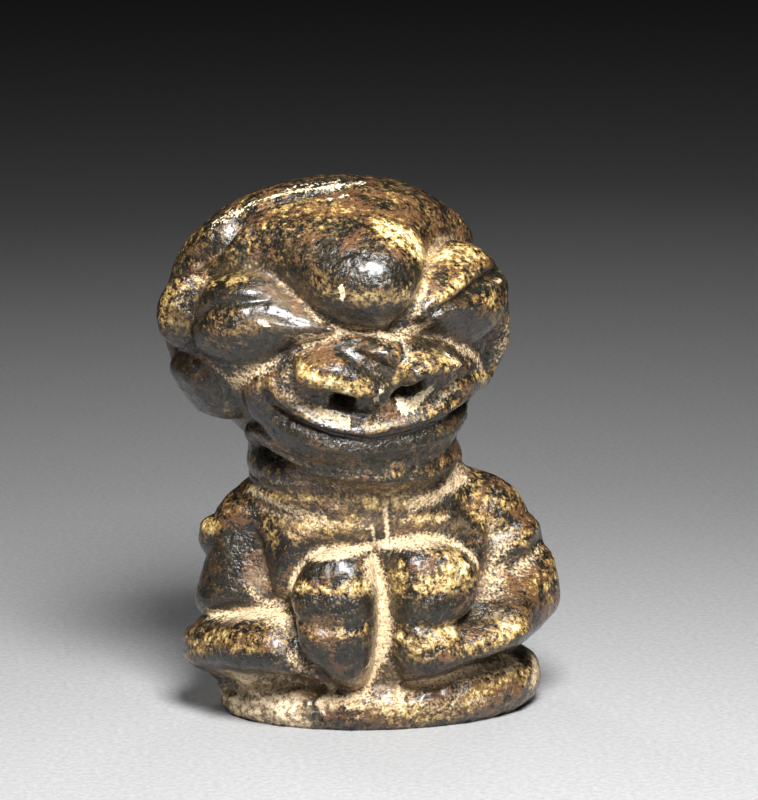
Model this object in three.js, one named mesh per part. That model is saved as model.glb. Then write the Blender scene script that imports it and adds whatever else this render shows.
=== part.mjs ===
// A small seated woman in dark burnished clay, with a big round head, a snouted face and a thick
// rolled base. One solid piece. Millimetres, +Z up, the front faces -Y, the foot stands on Z = 0.
import * as THREE from "three";

// Driving sizes
const HEIGHT = 60;
const HEAD_AT = [-3.9, 0.5, 44.1];
const HEAD_TURN = 11;
const HEAD_SIZE = [19.7, 15.6, 15.6];
const HEAD_SINK = 1.7;
const CROWN_RISE = 2.2;
const MAP_RADIUS = 15;
const BODY_AT = [0.3, 0.7, 11];
const BODY_SIZE = [17, 12.2, 14.5];
const NECK_RADIUS = 12.5;
const NECK_FLATTEN = 1.18;
const BASE_AT = [0.7, 0.8, 2.3];
const BASE_REACH = [15.4, 9.8];
const BASE_LIFT = 0.7;
const BASE_ROLL = 2.95;
const BASE_SWELL = 0.4;
const ROLL_STEPS = 24;
const COLUMNS = 72;
const BODY_RINGS = 25;
const NECK_RINGS = 3;
const HEAD_RINGS = 36;
const FLOOR_RINGS = 2;
const FRONT_SHARE = 0.58;
const SAMPLES = 3;
const PATCH = 0.6;

const radians = THREE.MathUtils.degToRad;
const clamp = THREE.MathUtils.clamp;
const mix = THREE.MathUtils.lerp;
const ease = THREE.MathUtils.smoothstep;

// Clay forms. Each is a function of a point that gives its distance, negative inside the clay.
const egg = (centre, size) => (p) => {
  const q = p.map((value, i) => (value - centre[i]) / size[i]);
  const reach = Math.hypot(...q);
  const slope = Math.hypot(q[0] / size[0], q[1] / size[1], q[2] / size[2]) + 1e-9;
  return (reach * (reach - 1)) / slope;
};

// A chain of round cones through the points, with a radius at each.
const limb = (points, radii) => (p) => {
  let nearest = Infinity;
  for (let i = 1; i < points.length; i++) {
    const [a, b] = [points[i - 1], points[i]];
    const along = [b[0] - a[0], b[1] - a[1], b[2] - a[2]];
    const from = [p[0] - a[0], p[1] - a[1], p[2] - a[2]];
    const length2 = along[0] ** 2 + along[1] ** 2 + along[2] ** 2;
    const t = clamp((from[0] * along[0] + from[1] * along[1] + from[2] * along[2]) / length2, 0, 1);
    const gap = Math.hypot(from[0] - t * along[0], from[1] - t * along[1], from[2] - t * along[2]);
    nearest = Math.min(nearest, gap - mix(radii[i - 1], radii[i], t));
  }
  return nearest;
};

const blend = (a, b, soft) => {
  const share = clamp(0.5 + (0.5 * (b - a)) / soft, 0, 1);
  return mix(b, a, share) - soft * share * (1 - share);
};

const turnCos = Math.cos(radians(HEAD_TURN));
const turnSin = Math.sin(radians(HEAD_TURN));
const toHead = (p) => {
  const [x, y] = [p[0] - HEAD_AT[0], p[1] - HEAD_AT[1]];
  return [x * turnCos + y * turnSin, y * turnCos - x * turnSin, p[2] - HEAD_AT[2]];
};

// Head: skull, left and right ears, forehead boss, muzzle, chin and nose. The nose wings are lobes.
const skull = egg([0, 0.6, 0], HEAD_SIZE);
const headForms = [
  [limb([[-17, 1.5, -1.5], [-16, 0.8, -4.6], [-14.6, 0, -7.2]], [2, 2.2, 2.1]), 0.8],
  [limb([[17.8, -2.4, 1.2], [18.3, -2.6, -3], [16.5, -2.8, -7]], [1.5, 1.6, 1.4]), 0.8],
  [egg([0.4, -9.2, 5.2], [8.6, 8.2, 6.6]), 3],
  [egg([1.2, -7.8, -5.6], [11, 6.6, 6.4]), 2.5],
  [egg([1, -7.2, -9.6], [11.6, 8.4, 5.2]), 2],
  [egg([0.4, -11.2, -2.6], [9.2, 5.4, 4.4]), 2],
];

const head = (p) => {
  const h = toHead(p);
  let clay = skull(h);
  for (const [form, soft] of headForms) clay = blend(clay, form(h), soft);
  return clay;
};

// Body: trunk, shoulders, neck with its nape, throat and slopes to the shoulders, both arms bent over
// the belly, and the roll of clay at the foot.
const trunk = egg(BODY_AT, BODY_SIZE);
const shoulders = limb([[-11.8, 1, 19.4], [0.3, 0.6, 20.6], [12.2, 1.4, 19.4]], [5.2, 6.8, 5.2]);
const neck = limb([[-1, 0.7, 19], [-2.4, 0.7, 33]], [NECK_RADIUS, NECK_RADIUS - 0.6]);
const neckForms = [
  [limb([[-1.6, 3.6, 23], [-3, 5, 34]], [8, 9]), 3],
  [egg([-1.6, -2.4, 28.6], [11.4, 9.6, 4.4]), 2],
  [limb([[-13, 1.2, 21.4], [-6, 1.2, 25.4]], [4.3, 4]), 2],
  [limb([[13, 1.2, 21.6], [5, 1.2, 25.8]], [4.2, 4]), 2],
];
const arms = [
  limb([[-13.4, 1, 19.4], [-15.7, 0.6, 13], [-15.9, 0.2, 7.4]], [4.6, 4.1, 4]),
  limb([[-15.8, -0.5, 7.4], [-13.6, -5.4, 8.2], [-10.8, -8.4, 9]], [4, 3.6, 2.8]),
  limb([[13.6, 1.4, 19.4], [15.2, 1.2, 15.8], [15.6, 0.6, 12.4]], [4.6, 4, 3.8]),
  limb([[15.6, 0, 12.2], [12.5, -6.2, 10.4], [5.5, -9.2, 8.4]], [3.8, 3.2, 2.6]),
];
const rollPoints = [];
const rollRadii = [];
for (let i = 0; i <= ROLL_STEPS; i++) {
  const bearing = (i / ROLL_STEPS) * 2 * Math.PI;
  const rise = Math.cos(bearing);
  const [x, y] = [BASE_AT[0] + BASE_REACH[0] * rise, BASE_AT[1] + BASE_REACH[1] * Math.sin(bearing)];
  rollPoints.push([x, y, BASE_AT[2] + BASE_LIFT * rise]);
  rollRadii.push(BASE_ROLL + BASE_SWELL * rise);
}
const baseRoll = limb(rollPoints, rollRadii);
const baseFill = egg([0.5, 0.8, 3], [15, 10, 6]);

const body = (p) => {
  let clay = blend(trunk(p), shoulders(p), 4);
  clay = blend(clay, neck([p[0], p[1] * NECK_FLATTEN, p[2]]), 1.5);
  for (const [form, soft] of neckForms) clay = blend(clay, form(p), soft);
  for (const arm of arms) clay = blend(clay, arm(p), 1.4);
  clay = blend(clay, baseRoll(p), 0.8);
  return blend(clay, baseFill(p), 1);
};

const figure = (p) => {
  if (p[2] > 37) return head(p);
  if (p[2] < 22) return body(p);
  return blend(body(p), head(p), 1.2);
};

// Smooth curve through the points of an outline or a stroke.
const smooth = (points, closed) => {
  const places = points.map(([a, b]) => new THREE.Vector3(a, b, 0));
  const curve = new THREE.CatmullRomCurve3(places, closed, "catmullrom");
  return curve.getPoints(points.length * 4).map((v) => [v.x, v.y]);
};

const gapTo = (line, a, b) => {
  let nearest = Infinity;
  for (let i = 1; i < line.length; i++) {
    const [p, q] = [line[i - 1], line[i]];
    const [dx, dy] = [q[0] - p[0], q[1] - p[1]];
    const t = clamp(((a - p[0]) * dx + (b - p[1]) * dy) / (dx * dx + dy * dy + 1e-12), 0, 1);
    nearest = Math.min(nearest, Math.hypot(a - p[0] - t * dx, b - p[1] - t * dy));
  }
  return nearest;
};

const encloses = (line, a, b) => {
  let inside = false;
  for (let i = 1; i < line.length; i++) {
    const [p, q] = [line[i - 1], line[i]];
    if (p[1] > b !== q[1] > b && a < p[0] + ((b - p[1]) * (q[0] - p[0])) / (q[1] - p[1])) inside = !inside;
  }
  return inside;
};

// A lobe swells from its outline to its full rise over the width of its shoulder.
const lobe = (points, rise, shoulder) => {
  const line = smooth(points, true);
  return (a, b) => {
    if (!encloses(line, a, b)) return 0;
    const slack = 1 - Math.min(gapTo(line, a, b) / shoulder, 1);
    return rise * (1 - slack * slack);
  };
};
const stroke = (points, depth, width) => {
  const line = smooth(points, false);
  return (a, b) => -depth * Math.exp(-((gapTo(line, a, b) / width) ** 2));
};

// Lobes of the head, on a map of millimetres across and up from the middle of the face.
const headLobes = [
  lobe([[-21.6, 12], [-20.3, 7], [-14.9, 7.9], [-10.6, 6], [-5.4, 2.6], [-0.3, 1.3], [3.4, 2.9],
    [6.7, 6.9], [13, 10.3], [21.5, 9], [29, 10], [30, 24], [3, 26], [-9.6, 18.8], [-16.2, 16.9],
    [-20.2, 14.6]], 2.4, 6),
  lobe([[-20.9, 2.4], [-19.6, 6.3], [-14.5, 7.4], [-10.4, 5], [-4.6, 1.6], [-10.4, -0.9], [-14.3, -2.7],
    [-19.7, -1.9]], 2.7, 4.2),
  lobe([[12, 8.6], [15.5, 9.8], [19, 8.6], [21.8, 4], [20.4, 0.6], [14.9, -1.6], [9.2, -0.2], [4.3, 2.3],
    [6.9, 5.6]], 2.7, 4),
  lobe([[-21.4, 5.6], [-24.6, 5.4], [-27, 2], [-25.2, -1.4], [-22.4, -1.5], [-21.3, 2]], 2.5, 2.4),
  lobe([[-60, -11], [-31, -10], [-27.6, 3], [-22.3, 8.6], [-21, 14.8], [-9.6, 19], [4, 19], [16, 14],
    [23.5, 6], [30.5, 1.5], [31, -8], [60, -11], [60, 30], [-60, 30]], 2.2, 3),
  lobe([[-60, 2], [-28, 4], [-22.6, 10.6], [-12, 11], [0, 10], [8, 13], [16, 13.4], [24, 11], [30, 6],
    [60, 2], [60, 30], [-60, 30]], 2, 4),
  lobe([[-21, -2.4], [-25.5, -2.4], [-29.5, -3.2], [-29.5, -6.6], [-25.4, -9.2], [-19, -9.6],
    [-18.8, -5.6]], 1.7, 2),
  lobe([[19.8, 2.6], [22, 3.4], [25, 2], [26, -3], [24, -8], [20.8, -7.8], [21, -3], [20.2, 0]], 1.7, 1.2),
  lobe([[-15.5, -4.4], [-9.5, -1], [-3.4, 1.1], [1.5, 1.3], [9.8, -0.8], [17.5, -3.4], [20, -6],
    [18, -10.5], [9, -13.5], [-3, -14.4], [-12, -13.4], [-17, -9.5]], 1.3, 2.6),
  lobe([[-12.8, -4.1], [-11.8, -3.3], [-10.8, -3.8], [-8.2, -6.1], [-4.4, -7.5], [0.6, -7.4], [5.6, -6.2],
    [9.8, -4.3], [16.8, -4.1], [20, -5.3], [18.5, -7], [7.8, -8.2], [-2.5, -9.4], [-8.8, -8.4],
    [-11.3, -7.4], [-12.6, -5.7]], 2.3, 1.7),
  lobe([[-9.6, -3.7], [-9, -1.3], [-4.6, -0.3], [-0.5, -2.6], [0.9, -3.5], [1.1, -4.6], [-1.7, -6],
    [-5.9, -5.1], [-8.4, -4.9]], 3.4, 1.9),
  lobe([[1.5, -2.3], [2.1, -1.4], [5.2, -0.5], [7.6, -0.8], [9.2, -1.7], [9.6, -2.9], [6.9, -4.1],
    [4.9, -3.9], [2.4, -4.8], [1.8, -4.5]], 3.2, 1.6),
  lobe([[-3.4, -0.6], [-2, 0.6], [0.2, 1], [2, 0.4], [2.6, -1], [2, -2.3], [0.4, -2.8]], 2.7, 2),
  lobe([[-13.6, -5.2], [-12.9, -6.4], [-11.1, -8], [-8.2, -8.8], [-2.3, -9.6], [1.9, -9.5], [14, -8],
    [18, -7.4], [17.5, -8.8], [10.5, -10], [-2.4, -11.3], [-9.6, -10.5], [-12.9, -9.6],
    [-14.6, -7]], 2.1, 1.3),
  lobe([[-20, -11], [-17.5, -10.2], [-12.8, -10.9], [-1.8, -11.9], [10.3, -10.3], [16, -9.4], [18, -11],
    [15.4, -12], [8.1, -12.7], [-5, -13.9], [-15.7, -13.9], [-20.7, -13]], 1.6, 1.4),
];
const headStrokes = [
  stroke([[-19.4, 1.4], [-16.2, 3.2], [-12.3, 4.2]], 1.3, 0.8),
  stroke([[-13.2, 3], [-11.6, 3.1], [-8, 1.9], [-6, 1.8]], 1.3, 0.8),
  stroke([[6.1, 2.8], [13.6, 4.6], [20.6, 4.6]], 1.4, 0.8),
  stroke([[-12.9, -5.6], [-11.5, -7.5], [-8.8, -8.5], [-2.4, -9.5], [2, -9.3], [17, -7]], 1.3, 0.8),
  stroke([[-6.3, -5.6], [-3.5, -6.4]], 3, 0.6),
  stroke([[2.3, -5.9], [4.4, -4.4]], 3, 0.65),
  stroke([[-20, -13.6], [-10.8, -14.5], [9, -12.9], [18, -12.4]], 0.8, 0.8),
  stroke([[18.6, 1.8], [19.7, -1], [19.9, -4], [19, -6.8]], 1.4, 0.8),
  stroke([[-12.5, 7.1], [-5.4, 2.5], [-1, 1.2]], 0.7, 0.8),
  stroke([[2, 1.8], [6.8, 6.8], [12, 9.6]], 0.7, 0.8),
  stroke([[-24.5, 6.5], [-22, 9.5], [-21.2, 13.5], [-15, 17.2], [-6, 19.5], [2, 20]], 0.5, 0.8),
];

// Lobes of the body, on a map of millimetres round the trunk and up from the floor.
const bodyLobes = [
  lobe([[-12.9, 14.9], [-11.2, 11], [-9.8, 7.6], [-7.4, 5], [-4, 4.6], [-2.1, 6.8], [-1.4, 12],
    [-1.5, 17], [-2.8, 19.6], [-6, 20.8], [-9.6, 20.2], [-12.2, 18]], 3.4, 3.8),
  lobe([[0.4, 19.4], [0.1, 15.1], [1.2, 11.9], [4.9, 10.6], [9.2, 11.7], [11.8, 14.2], [12.4, 16.9],
    [11.4, 19.5], [7.8, 21], [3, 21]], 3.2, 3.6),
  lobe([[1, 13.2], [0.4, 10], [1, 7], [2.8, 5.2], [6.1, 5], [14.5, 7.8], [17.5, 10.8], [14.5, 13],
    [10, 12.8], [3, 14]], 2.5, 3.2),
  lobe([[1.2, 11.2], [8.3, 11.5], [14.8, 15], [24, 18.5], [28, 13], [20.5, 8], [8.4, 7.1],
    [3.2, 5.2]], 1.8, 3),
  lobe([[18.4, 19], [21, 21.6], [28, 20.5], [31, 16], [26, 13], [20, 14.8]], 1.1, 2.6),
  lobe([[-22.6, 21.6], [-25.5, 22], [-27.5, 19.6], [-26, 17.4], [-23.2, 18.4]], 1.2, 1.8),
  lobe([[-28, 9.4], [-20.1, 11.9], [-13.8, 13.4], [-9, 5.6], [-13.9, 6.4], [-21.2, 4.4],
    [-26, 4.2]], 1.2, 2.5),
];
const bodyStrokes = [
  stroke([[-1.6, 20], [-0.6, 13.7], [-1.7, 7.9], [-4, 5]], 0.8, 1),
  stroke([[-14.6, 15.5], [-11.6, 20.3], [-4, 21], [4.6, 21.8], [14.4, 19.6], [15.4, 16.6]], 0.5, 0.9),
  stroke([[-0.3, 26], [-0.1, 22.6]], 0.5, 0.8),
  stroke([[-11.8, 13.4], [-7, 12.5], [-2.2, 13]], 0.3, 0.8),
  stroke([[-47.1, 27.6], [-20, 26.8], [20, 27.6], [47.1, 27.6]], 0.5, 0.9),
  stroke([[-24, 24.9], [-16.3, 23.9], [-11, 24]], 0.5, 0.9),
  stroke([[-20.4, 21.8], [-17.4, 15.3], [-15.6, 13.7]], 1.5, 1.5),
  stroke([[-24.5, 10.4], [-13.8, 14.4]], 0.8, 0.9),
  stroke([[-24, 4.2], [-16.8, 6], [-9.6, 4.4]], 0.7, 0.9),
  stroke([[19, 20.6], [17.4, 17.6], [14.5, 14.6]], 1.1, 1.1),
  stroke([[22.5, 18.2], [8.2, 11]], 0.8, 0.9),
  stroke([[25.5, 8.6], [15.1, 7.1], [8.4, 7], [2.9, 4.6]], 0.8, 0.9),
];
for (const side of [-1, 1]) {
  bodyStrokes.push(stroke([[side * 29, 6], [side * 33, 18], [side * 37, 22]], 0.8, 1.3));
  bodyStrokes.push(stroke([[side * 47.1, 4.5], [side * 47.1, 23]], 0.7, 1.4));
}

// How far the carved surface stands out of the plain forms at a point.
const relief = (p) => {
  const h = toHead(p);
  const across = MAP_RADIUS * Math.atan2(h[0], -h[1]);
  const up = MAP_RADIUS * Math.atan2(h[2], Math.hypot(h[0], h[1]));
  let high = 0;
  if (p[2] > 26) {
    for (const swell of headLobes) high = Math.max(high, swell(across, up));
    for (const cut of headStrokes) high += cut(across, up);
    high = mix(high, CROWN_RISE, ease(up, 18.5, 22));
  }
  const onFace = high * ease(p[2], 26.3, 27.9) - HEAD_SINK * ease(p[2], 27.5, 34.5);
  const round = MAP_RADIUS * Math.atan2(p[0] - 0.3, -(p[1] - 0.5));
  let low = 0;
  if (p[2] < 30.5) {
    for (const swell of bodyLobes) low = Math.max(low, swell(round, p[2]));
    for (const cut of bodyStrokes) low += cut(round, p[2]);
  }
  return onFace + low * clamp((p[2] - 0.3) / 1.2, 0, 1) * clamp((30.5 - p[2]) / 1.5, 0, 1);
};

// Walks out from inside the clay along a ray until the surface at the given relief.
const walk = (start, way, level, from) => {
  let far = from;
  for (let step = 0; step < 60; step++) {
    const p = start.map((value, i) => value + far * way[i]);
    const gap = level - figure(p);
    far += 0.8 * gap;
    if (Math.abs(gap) < 0.002) break;
  }
  return far;
};
const distanceTo = (start, way) => {
  const plain = walk(start, way, 0, 4);
  const high = relief(start.map((value, i) => value + plain * way[i]));
  return walk(start, way, high, Math.max(plain - 3, 2));
};

// Rings of rays: level up the trunk, tilted over the shoulders, past the neck, then over the head.
const LOW = [-0.6, 0.5, 14];
const HIGH = [-2.2, 0.5, 44.1];
const LOW_TILT = radians(45);
const HIGH_TILT = radians(-50);
const FOOT = [0.3, 0.5, 0.3];
const between = (a, b, t) => a.map((value, i) => mix(value, b[i], t));

// Start and tilt of the ring at a ring number, which may lie between two rings.
const neckStart = BODY_RINGS - 1;
const headStart = neckStart + NECK_RINGS + 1;
const ringCount = headStart + HEAD_RINGS;
const ringAt = (number) => {
  if (number <= neckStart) {
    const t = Math.max(number, 0) / neckStart;
    return [between(FOOT, LOW, Math.min(2 * t, 1)), LOW_TILT * Math.max(2 * t - 1, 0)];
  }
  if (number < headStart) {
    const t = (number - neckStart) / (headStart - neckStart);
    return [between(LOW, HIGH, t), Math.atan(mix(Math.tan(LOW_TILT), Math.tan(HIGH_TILT), t))];
  }
  const t = (number - headStart) / HEAD_RINGS;
  return [between(HIGH, HEAD_AT, Math.min(2.5 * t, 1)), mix(HIGH_TILT, Math.PI / 2, 0.6 * t + 0.4 * t * t)];
};

// Columns stand closer together at the front, where the carving is.
const bearingAt = (column) => {
  const turn = 2 * Math.PI * (column / COLUMNS - 0.5);
  return turn - FRONT_SHARE * Math.sin(turn) - Math.PI / 2;
};

// A point of the wall is the mean of a small patch of rays, so no edge of the carving is missed.
const offset = (i) => PATCH * ((i + 0.5) / SAMPLES - 0.5);
const pointAt = (ring, column) => {
  const [start, tilt] = ringAt(ring);
  const way = (lift, bearing) => [
    Math.cos(lift) * Math.cos(bearing),
    Math.cos(lift) * Math.sin(bearing),
    Math.sin(lift),
  ];
  let reach = 0;
  for (let i = 0; i < SAMPLES; i++) {
    for (let j = 0; j < SAMPLES; j++) {
      const [from, lift] = ringAt(ring + offset(i));
      reach += distanceTo(from, way(lift, bearingAt(column + offset(j))));
    }
  }
  const mean = reach / SAMPLES ** 2;
  return way(tilt, bearingAt(column)).map((value, i) => start[i] + mean * value);
};

const wall = [];
for (let ring = 0; ring < ringCount; ring++) {
  wall.push(Array.from({ length: COLUMNS }, (_, column) => pointAt(ring, column)));
}
const middle = [FOOT[0], FOOT[1], 0];
const rim = wall[0].map((p) => [mix(middle[0], p[0], 0.985), mix(middle[1], p[1], 0.985), 0]);
const vertices = [middle];
for (let i = 1; i <= FLOOR_RINGS; i++) {
  for (const p of rim) vertices.push(between(middle, p, i / FLOOR_RINGS));
}
for (const ring of wall) vertices.push(...ring);
const topLift = distanceTo(HEAD_AT, [0, 0, 1]);
vertices.push([HEAD_AT[0], HEAD_AT[1], HEAD_AT[2] + topLift]);

// Each square between two rings is split along its shorter diagonal.
const rows = FLOOR_RINGS + ringCount;
const at = (row, column) => 1 + row * COLUMNS + (column % COLUMNS);
const span = (a, b) => Math.hypot(...vertices[a].map((value, i) => value - vertices[b][i]));
const faces = [];
for (let column = 0; column < COLUMNS; column++) {
  faces.push(0, at(0, column + 1), at(0, column));
  faces.push(at(rows - 1, column), at(rows - 1, column + 1), vertices.length - 1);
  for (let row = 1; row < rows; row++) {
    const [a, b] = [at(row - 1, column), at(row - 1, column + 1)];
    const [c, d] = [at(row, column + 1), at(row, column)];
    if (span(a, c) < span(b, d)) faces.push(a, b, c, a, c, d);
    else faces.push(a, b, d, b, c, d);
  }
}

const geometry = new THREE.BufferGeometry();
geometry.setAttribute("position", new THREE.Float32BufferAttribute(vertices.flat(), 3));
geometry.setIndex(faces);
geometry.computeBoundingBox();
const box = geometry.boundingBox;
geometry.translate(-(box.min.x + box.max.x) / 2, -(box.min.y + box.max.y) / 2, -box.min.z);
const scale = HEIGHT / (box.max.z - box.min.z);
geometry.scale(scale, scale, scale);
geometry.computeVertexNormals();

const clay = new THREE.MeshStandardMaterial({ color: 0x3a2a1c, roughness: 0.42, metalness: 0 });
const figurine = new THREE.Mesh(geometry, clay);
figurine.name = "figure";

const group = new THREE.Group();
group.add(figurine);
export default group;
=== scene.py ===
import math

import bpy
import numpy as np
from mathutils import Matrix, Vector, noise


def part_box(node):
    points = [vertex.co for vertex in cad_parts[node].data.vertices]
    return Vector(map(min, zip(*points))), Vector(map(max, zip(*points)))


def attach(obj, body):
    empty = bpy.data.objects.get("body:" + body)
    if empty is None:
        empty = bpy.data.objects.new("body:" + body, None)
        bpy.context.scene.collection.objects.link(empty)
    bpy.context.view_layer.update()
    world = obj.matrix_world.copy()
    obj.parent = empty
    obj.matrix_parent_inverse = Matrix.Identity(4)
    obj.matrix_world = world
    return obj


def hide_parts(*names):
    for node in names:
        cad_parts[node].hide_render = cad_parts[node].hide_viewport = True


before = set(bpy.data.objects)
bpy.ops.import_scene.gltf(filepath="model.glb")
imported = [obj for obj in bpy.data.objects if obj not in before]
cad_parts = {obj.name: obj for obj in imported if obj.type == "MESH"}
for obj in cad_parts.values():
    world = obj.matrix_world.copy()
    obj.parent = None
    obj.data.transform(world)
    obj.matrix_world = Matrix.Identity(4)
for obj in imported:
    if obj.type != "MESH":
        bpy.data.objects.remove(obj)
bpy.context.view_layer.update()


# The lump of clay before carving. One solid figure, modelled by hand from a round head, a thick
# neck, a squat trunk with bent arms and a roll at the foot. Millimetres, +Z up, front faces -Y.
HEAD_AT = np.array([-3.9, 0.5, 44.1])
HEAD_TURN = math.radians(11)
MAP_RADIUS = 15


def egg(points, centre, size):
    size = np.array(size)[:, None]
    scaled = (points - np.array(centre)[:, None]) / size
    reach = np.sqrt((scaled**2).sum(0))
    return reach * (reach - 1) / (np.sqrt(((scaled / size) ** 2).sum(0)) + 1e-9)


def limb(points, joints, radii):
    nearest = None
    joints = np.array(joints, float)
    for a, b, thick, thin in zip(joints, joints[1:], radii, radii[1:]):
        along = b - a
        offset = points - a[:, None]
        share = np.clip(along @ offset / (along @ along), 0, 1)
        gap = np.sqrt(((offset - along[:, None] * share) ** 2).sum(0)) - thick - (thin - thick) * share
        nearest = gap if nearest is None else np.minimum(nearest, gap)
    return nearest


def blend(a, b, soft):
    share = np.clip(0.5 + 0.5 * (b - a) / soft, 0, 1)
    return b + (a - b) * share - soft * share * (1 - share)


def ease(value, low, high):
    share = np.clip((value - low) / (high - low), 0, 1)
    return share * share * (3 - 2 * share)


def to_head(points):
    x, y, z = points - HEAD_AT[:, None]
    cos, sin = math.cos(HEAD_TURN), math.sin(HEAD_TURN)
    return np.array([x * cos + y * sin, y * cos - x * sin, z])


def head_form(points):
    h = to_head(points)
    clay = egg(h, (0, 0.6, 0), (19.7, 15.6, 15.6))
    ear_left = limb(h, [(-17, 1.5, -1.5), (-16, 0.8, -4.6), (-14.6, 0, -7.2)], [2, 2.2, 2.1])
    ear_right = limb(h, [(17.8, -2.4, 1.2), (18.3, -2.6, -3), (16.5, -2.8, -7)], [1.5, 1.6, 1.4])
    clay = blend(blend(clay, ear_left, 0.8), ear_right, 0.8)
    clay = blend(clay, egg(h, (0.4, -9.2, 5.2), (8.6, 8.2, 6.6)), 3)
    clay = blend(clay, egg(h, (1.2, -7.8, -5.6), (11, 6.6, 6.4)), 2.5)
    clay = blend(clay, egg(h, (1, -7.2, -9.6), (11.6, 8.4, 5.2)), 2)
    return blend(clay, egg(h, (0.4, -11.2, -2.6), (9.2, 5.4, 4.4)), 2)


ARMS = [
    ([(-13.4, 1, 19.4), (-15.7, 0.6, 13), (-15.9, 0.2, 7.4)], [4.6, 4.1, 4]),
    ([(-15.8, -0.5, 7.4), (-13.6, -5.4, 8.2), (-10.8, -8.4, 9)], [4, 3.6, 2.8]),
    ([(13.6, 1.4, 19.4), (15.2, 1.2, 15.8), (15.6, 0.6, 12.4)], [4.6, 4, 3.8]),
    ([(15.6, 0, 12.2), (12.5, -6.2, 10.4), (5.5, -9.2, 8.4)], [3.8, 3.2, 2.6]),
]
ROLL_TURNS = np.linspace(0, 2 * math.pi, 25)
ROLL_LINE = [(0.7 + 15.4 * math.cos(t), 0.8 + 9.8 * math.sin(t), 2.3 + 0.7 * math.cos(t)) for t in ROLL_TURNS]
ROLL_RADII = [2.95 + 0.4 * math.cos(t) for t in ROLL_TURNS]


def body_form(points):
    clay = egg(points, (0.3, 0.7, 11), (17, 12.2, 14.5))
    clay = blend(clay, limb(points, [(-11.8, 1, 19.4), (0.3, 0.6, 20.6), (12.2, 1.4, 19.4)], [5.2, 6.8, 5.2]), 4)
    flattened = points * np.array([1, 1.18, 1])[:, None]
    clay = blend(clay, limb(flattened, [(-1, 0.7, 19), (-2.4, 0.7, 33)], [12.5, 11.9]), 1.5)
    clay = blend(clay, limb(points, [(-1.6, 3.6, 23), (-3, 5, 34)], [8, 9]), 3)
    clay = blend(clay, egg(points, (-1.6, -2.4, 28.6), (11.4, 9.6, 4.4)), 2)
    clay = blend(clay, limb(points, [(-13, 1.2, 21.4), (-6, 1.2, 25.4)], [4.3, 4]), 2)
    clay = blend(clay, limb(points, [(13, 1.2, 21.6), (5, 1.2, 25.8)], [4.2, 4]), 2)
    for joints, radii in ARMS:
        clay = blend(clay, limb(points, joints, radii), 1.4)
    clay = blend(clay, limb(points, ROLL_LINE, ROLL_RADII), 0.8)
    return blend(clay, egg(points, (0.5, 0.8, 3), (15, 10, 6)), 1)


def figure_form(points):
    gap = np.empty(points.shape[1])
    low, high = points[2] < 22, points[2] > 37
    between = ~(low | high)
    gap[low] = body_form(points[:, low])
    gap[high] = head_form(points[:, high])
    gap[between] = blend(body_form(points[:, between]), head_form(points[:, between]), 1.2)
    return gap


# The carving. Swellings and cuts are drawn as closed outlines and lines on two unrolled maps, in
# millimetres across and up from the middle of the face, and round the trunk and up from the floor.
def smooth_line(points, closed, steps=5):
    points = np.array(points, float)
    if closed:
        points = np.vstack([points[-1:], points, points[:2]])
    else:
        points = np.vstack([2 * points[0] - points[1], points, 2 * points[-1] - points[-2]])
    t = np.linspace(0, 1, steps, endpoint=False)[:, None]
    pieces = []
    for p0, p1, p2, p3 in zip(points, points[1:], points[2:], points[3:]):
        cubic = 3 * p1 - p0 - 3 * p2 + p3
        pieces.append(p1 + 0.5 * t * (p2 - p0 + t * (2 * p0 - 5 * p1 + 4 * p2 - p3 + t * cubic)))
    pieces.append(points[-2:-1])
    return np.vstack(pieces)


def gap_to(line, place):
    nearest = np.full(place.shape[1], 1e9)
    for a, b in zip(line, line[1:]):
        along = b - a
        offset = place - a[:, None]
        share = np.clip(along @ offset / (along @ along + 1e-12), 0, 1)
        nearest = np.minimum(nearest, ((offset - along[:, None] * share) ** 2).sum(0))
    return np.sqrt(nearest)


def encloses(line, place):
    inside = np.zeros(place.shape[1], bool)
    for a, b in zip(line, line[1:]):
        if a[1] != b[1]:
            crossing = a[0] + (place[1] - a[1]) * (b[0] - a[0]) / (b[1] - a[1])
            inside ^= ((a[1] > place[1]) != (b[1] > place[1])) & (place[0] < crossing)
    return inside


def swelling(place, outline, rise, shoulder):
    line = smooth_line(outline, True)
    near = (place[0] >= line[:, 0].min()) & (place[0] <= line[:, 0].max())
    near &= (place[1] >= line[:, 1].min()) & (place[1] <= line[:, 1].max())
    near[near] = encloses(line, place[:, near])
    high = np.zeros(place.shape[1])
    slack = 1 - np.minimum(gap_to(line, place[:, near]) / shoulder, 1)
    high[near] = rise * (1 - slack * slack)
    return high


def line_share(place, points, width):
    line = smooth_line(points, False)
    reach = 3 * width
    near = (place[0] >= line[:, 0].min() - reach) & (place[0] <= line[:, 0].max() + reach)
    near &= (place[1] >= line[:, 1].min() - reach) & (place[1] <= line[:, 1].max() + reach)
    share = np.zeros(place.shape[1])
    share[near] = np.exp(-((gap_to(line, place[:, near]) / width) ** 2))
    return share


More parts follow.
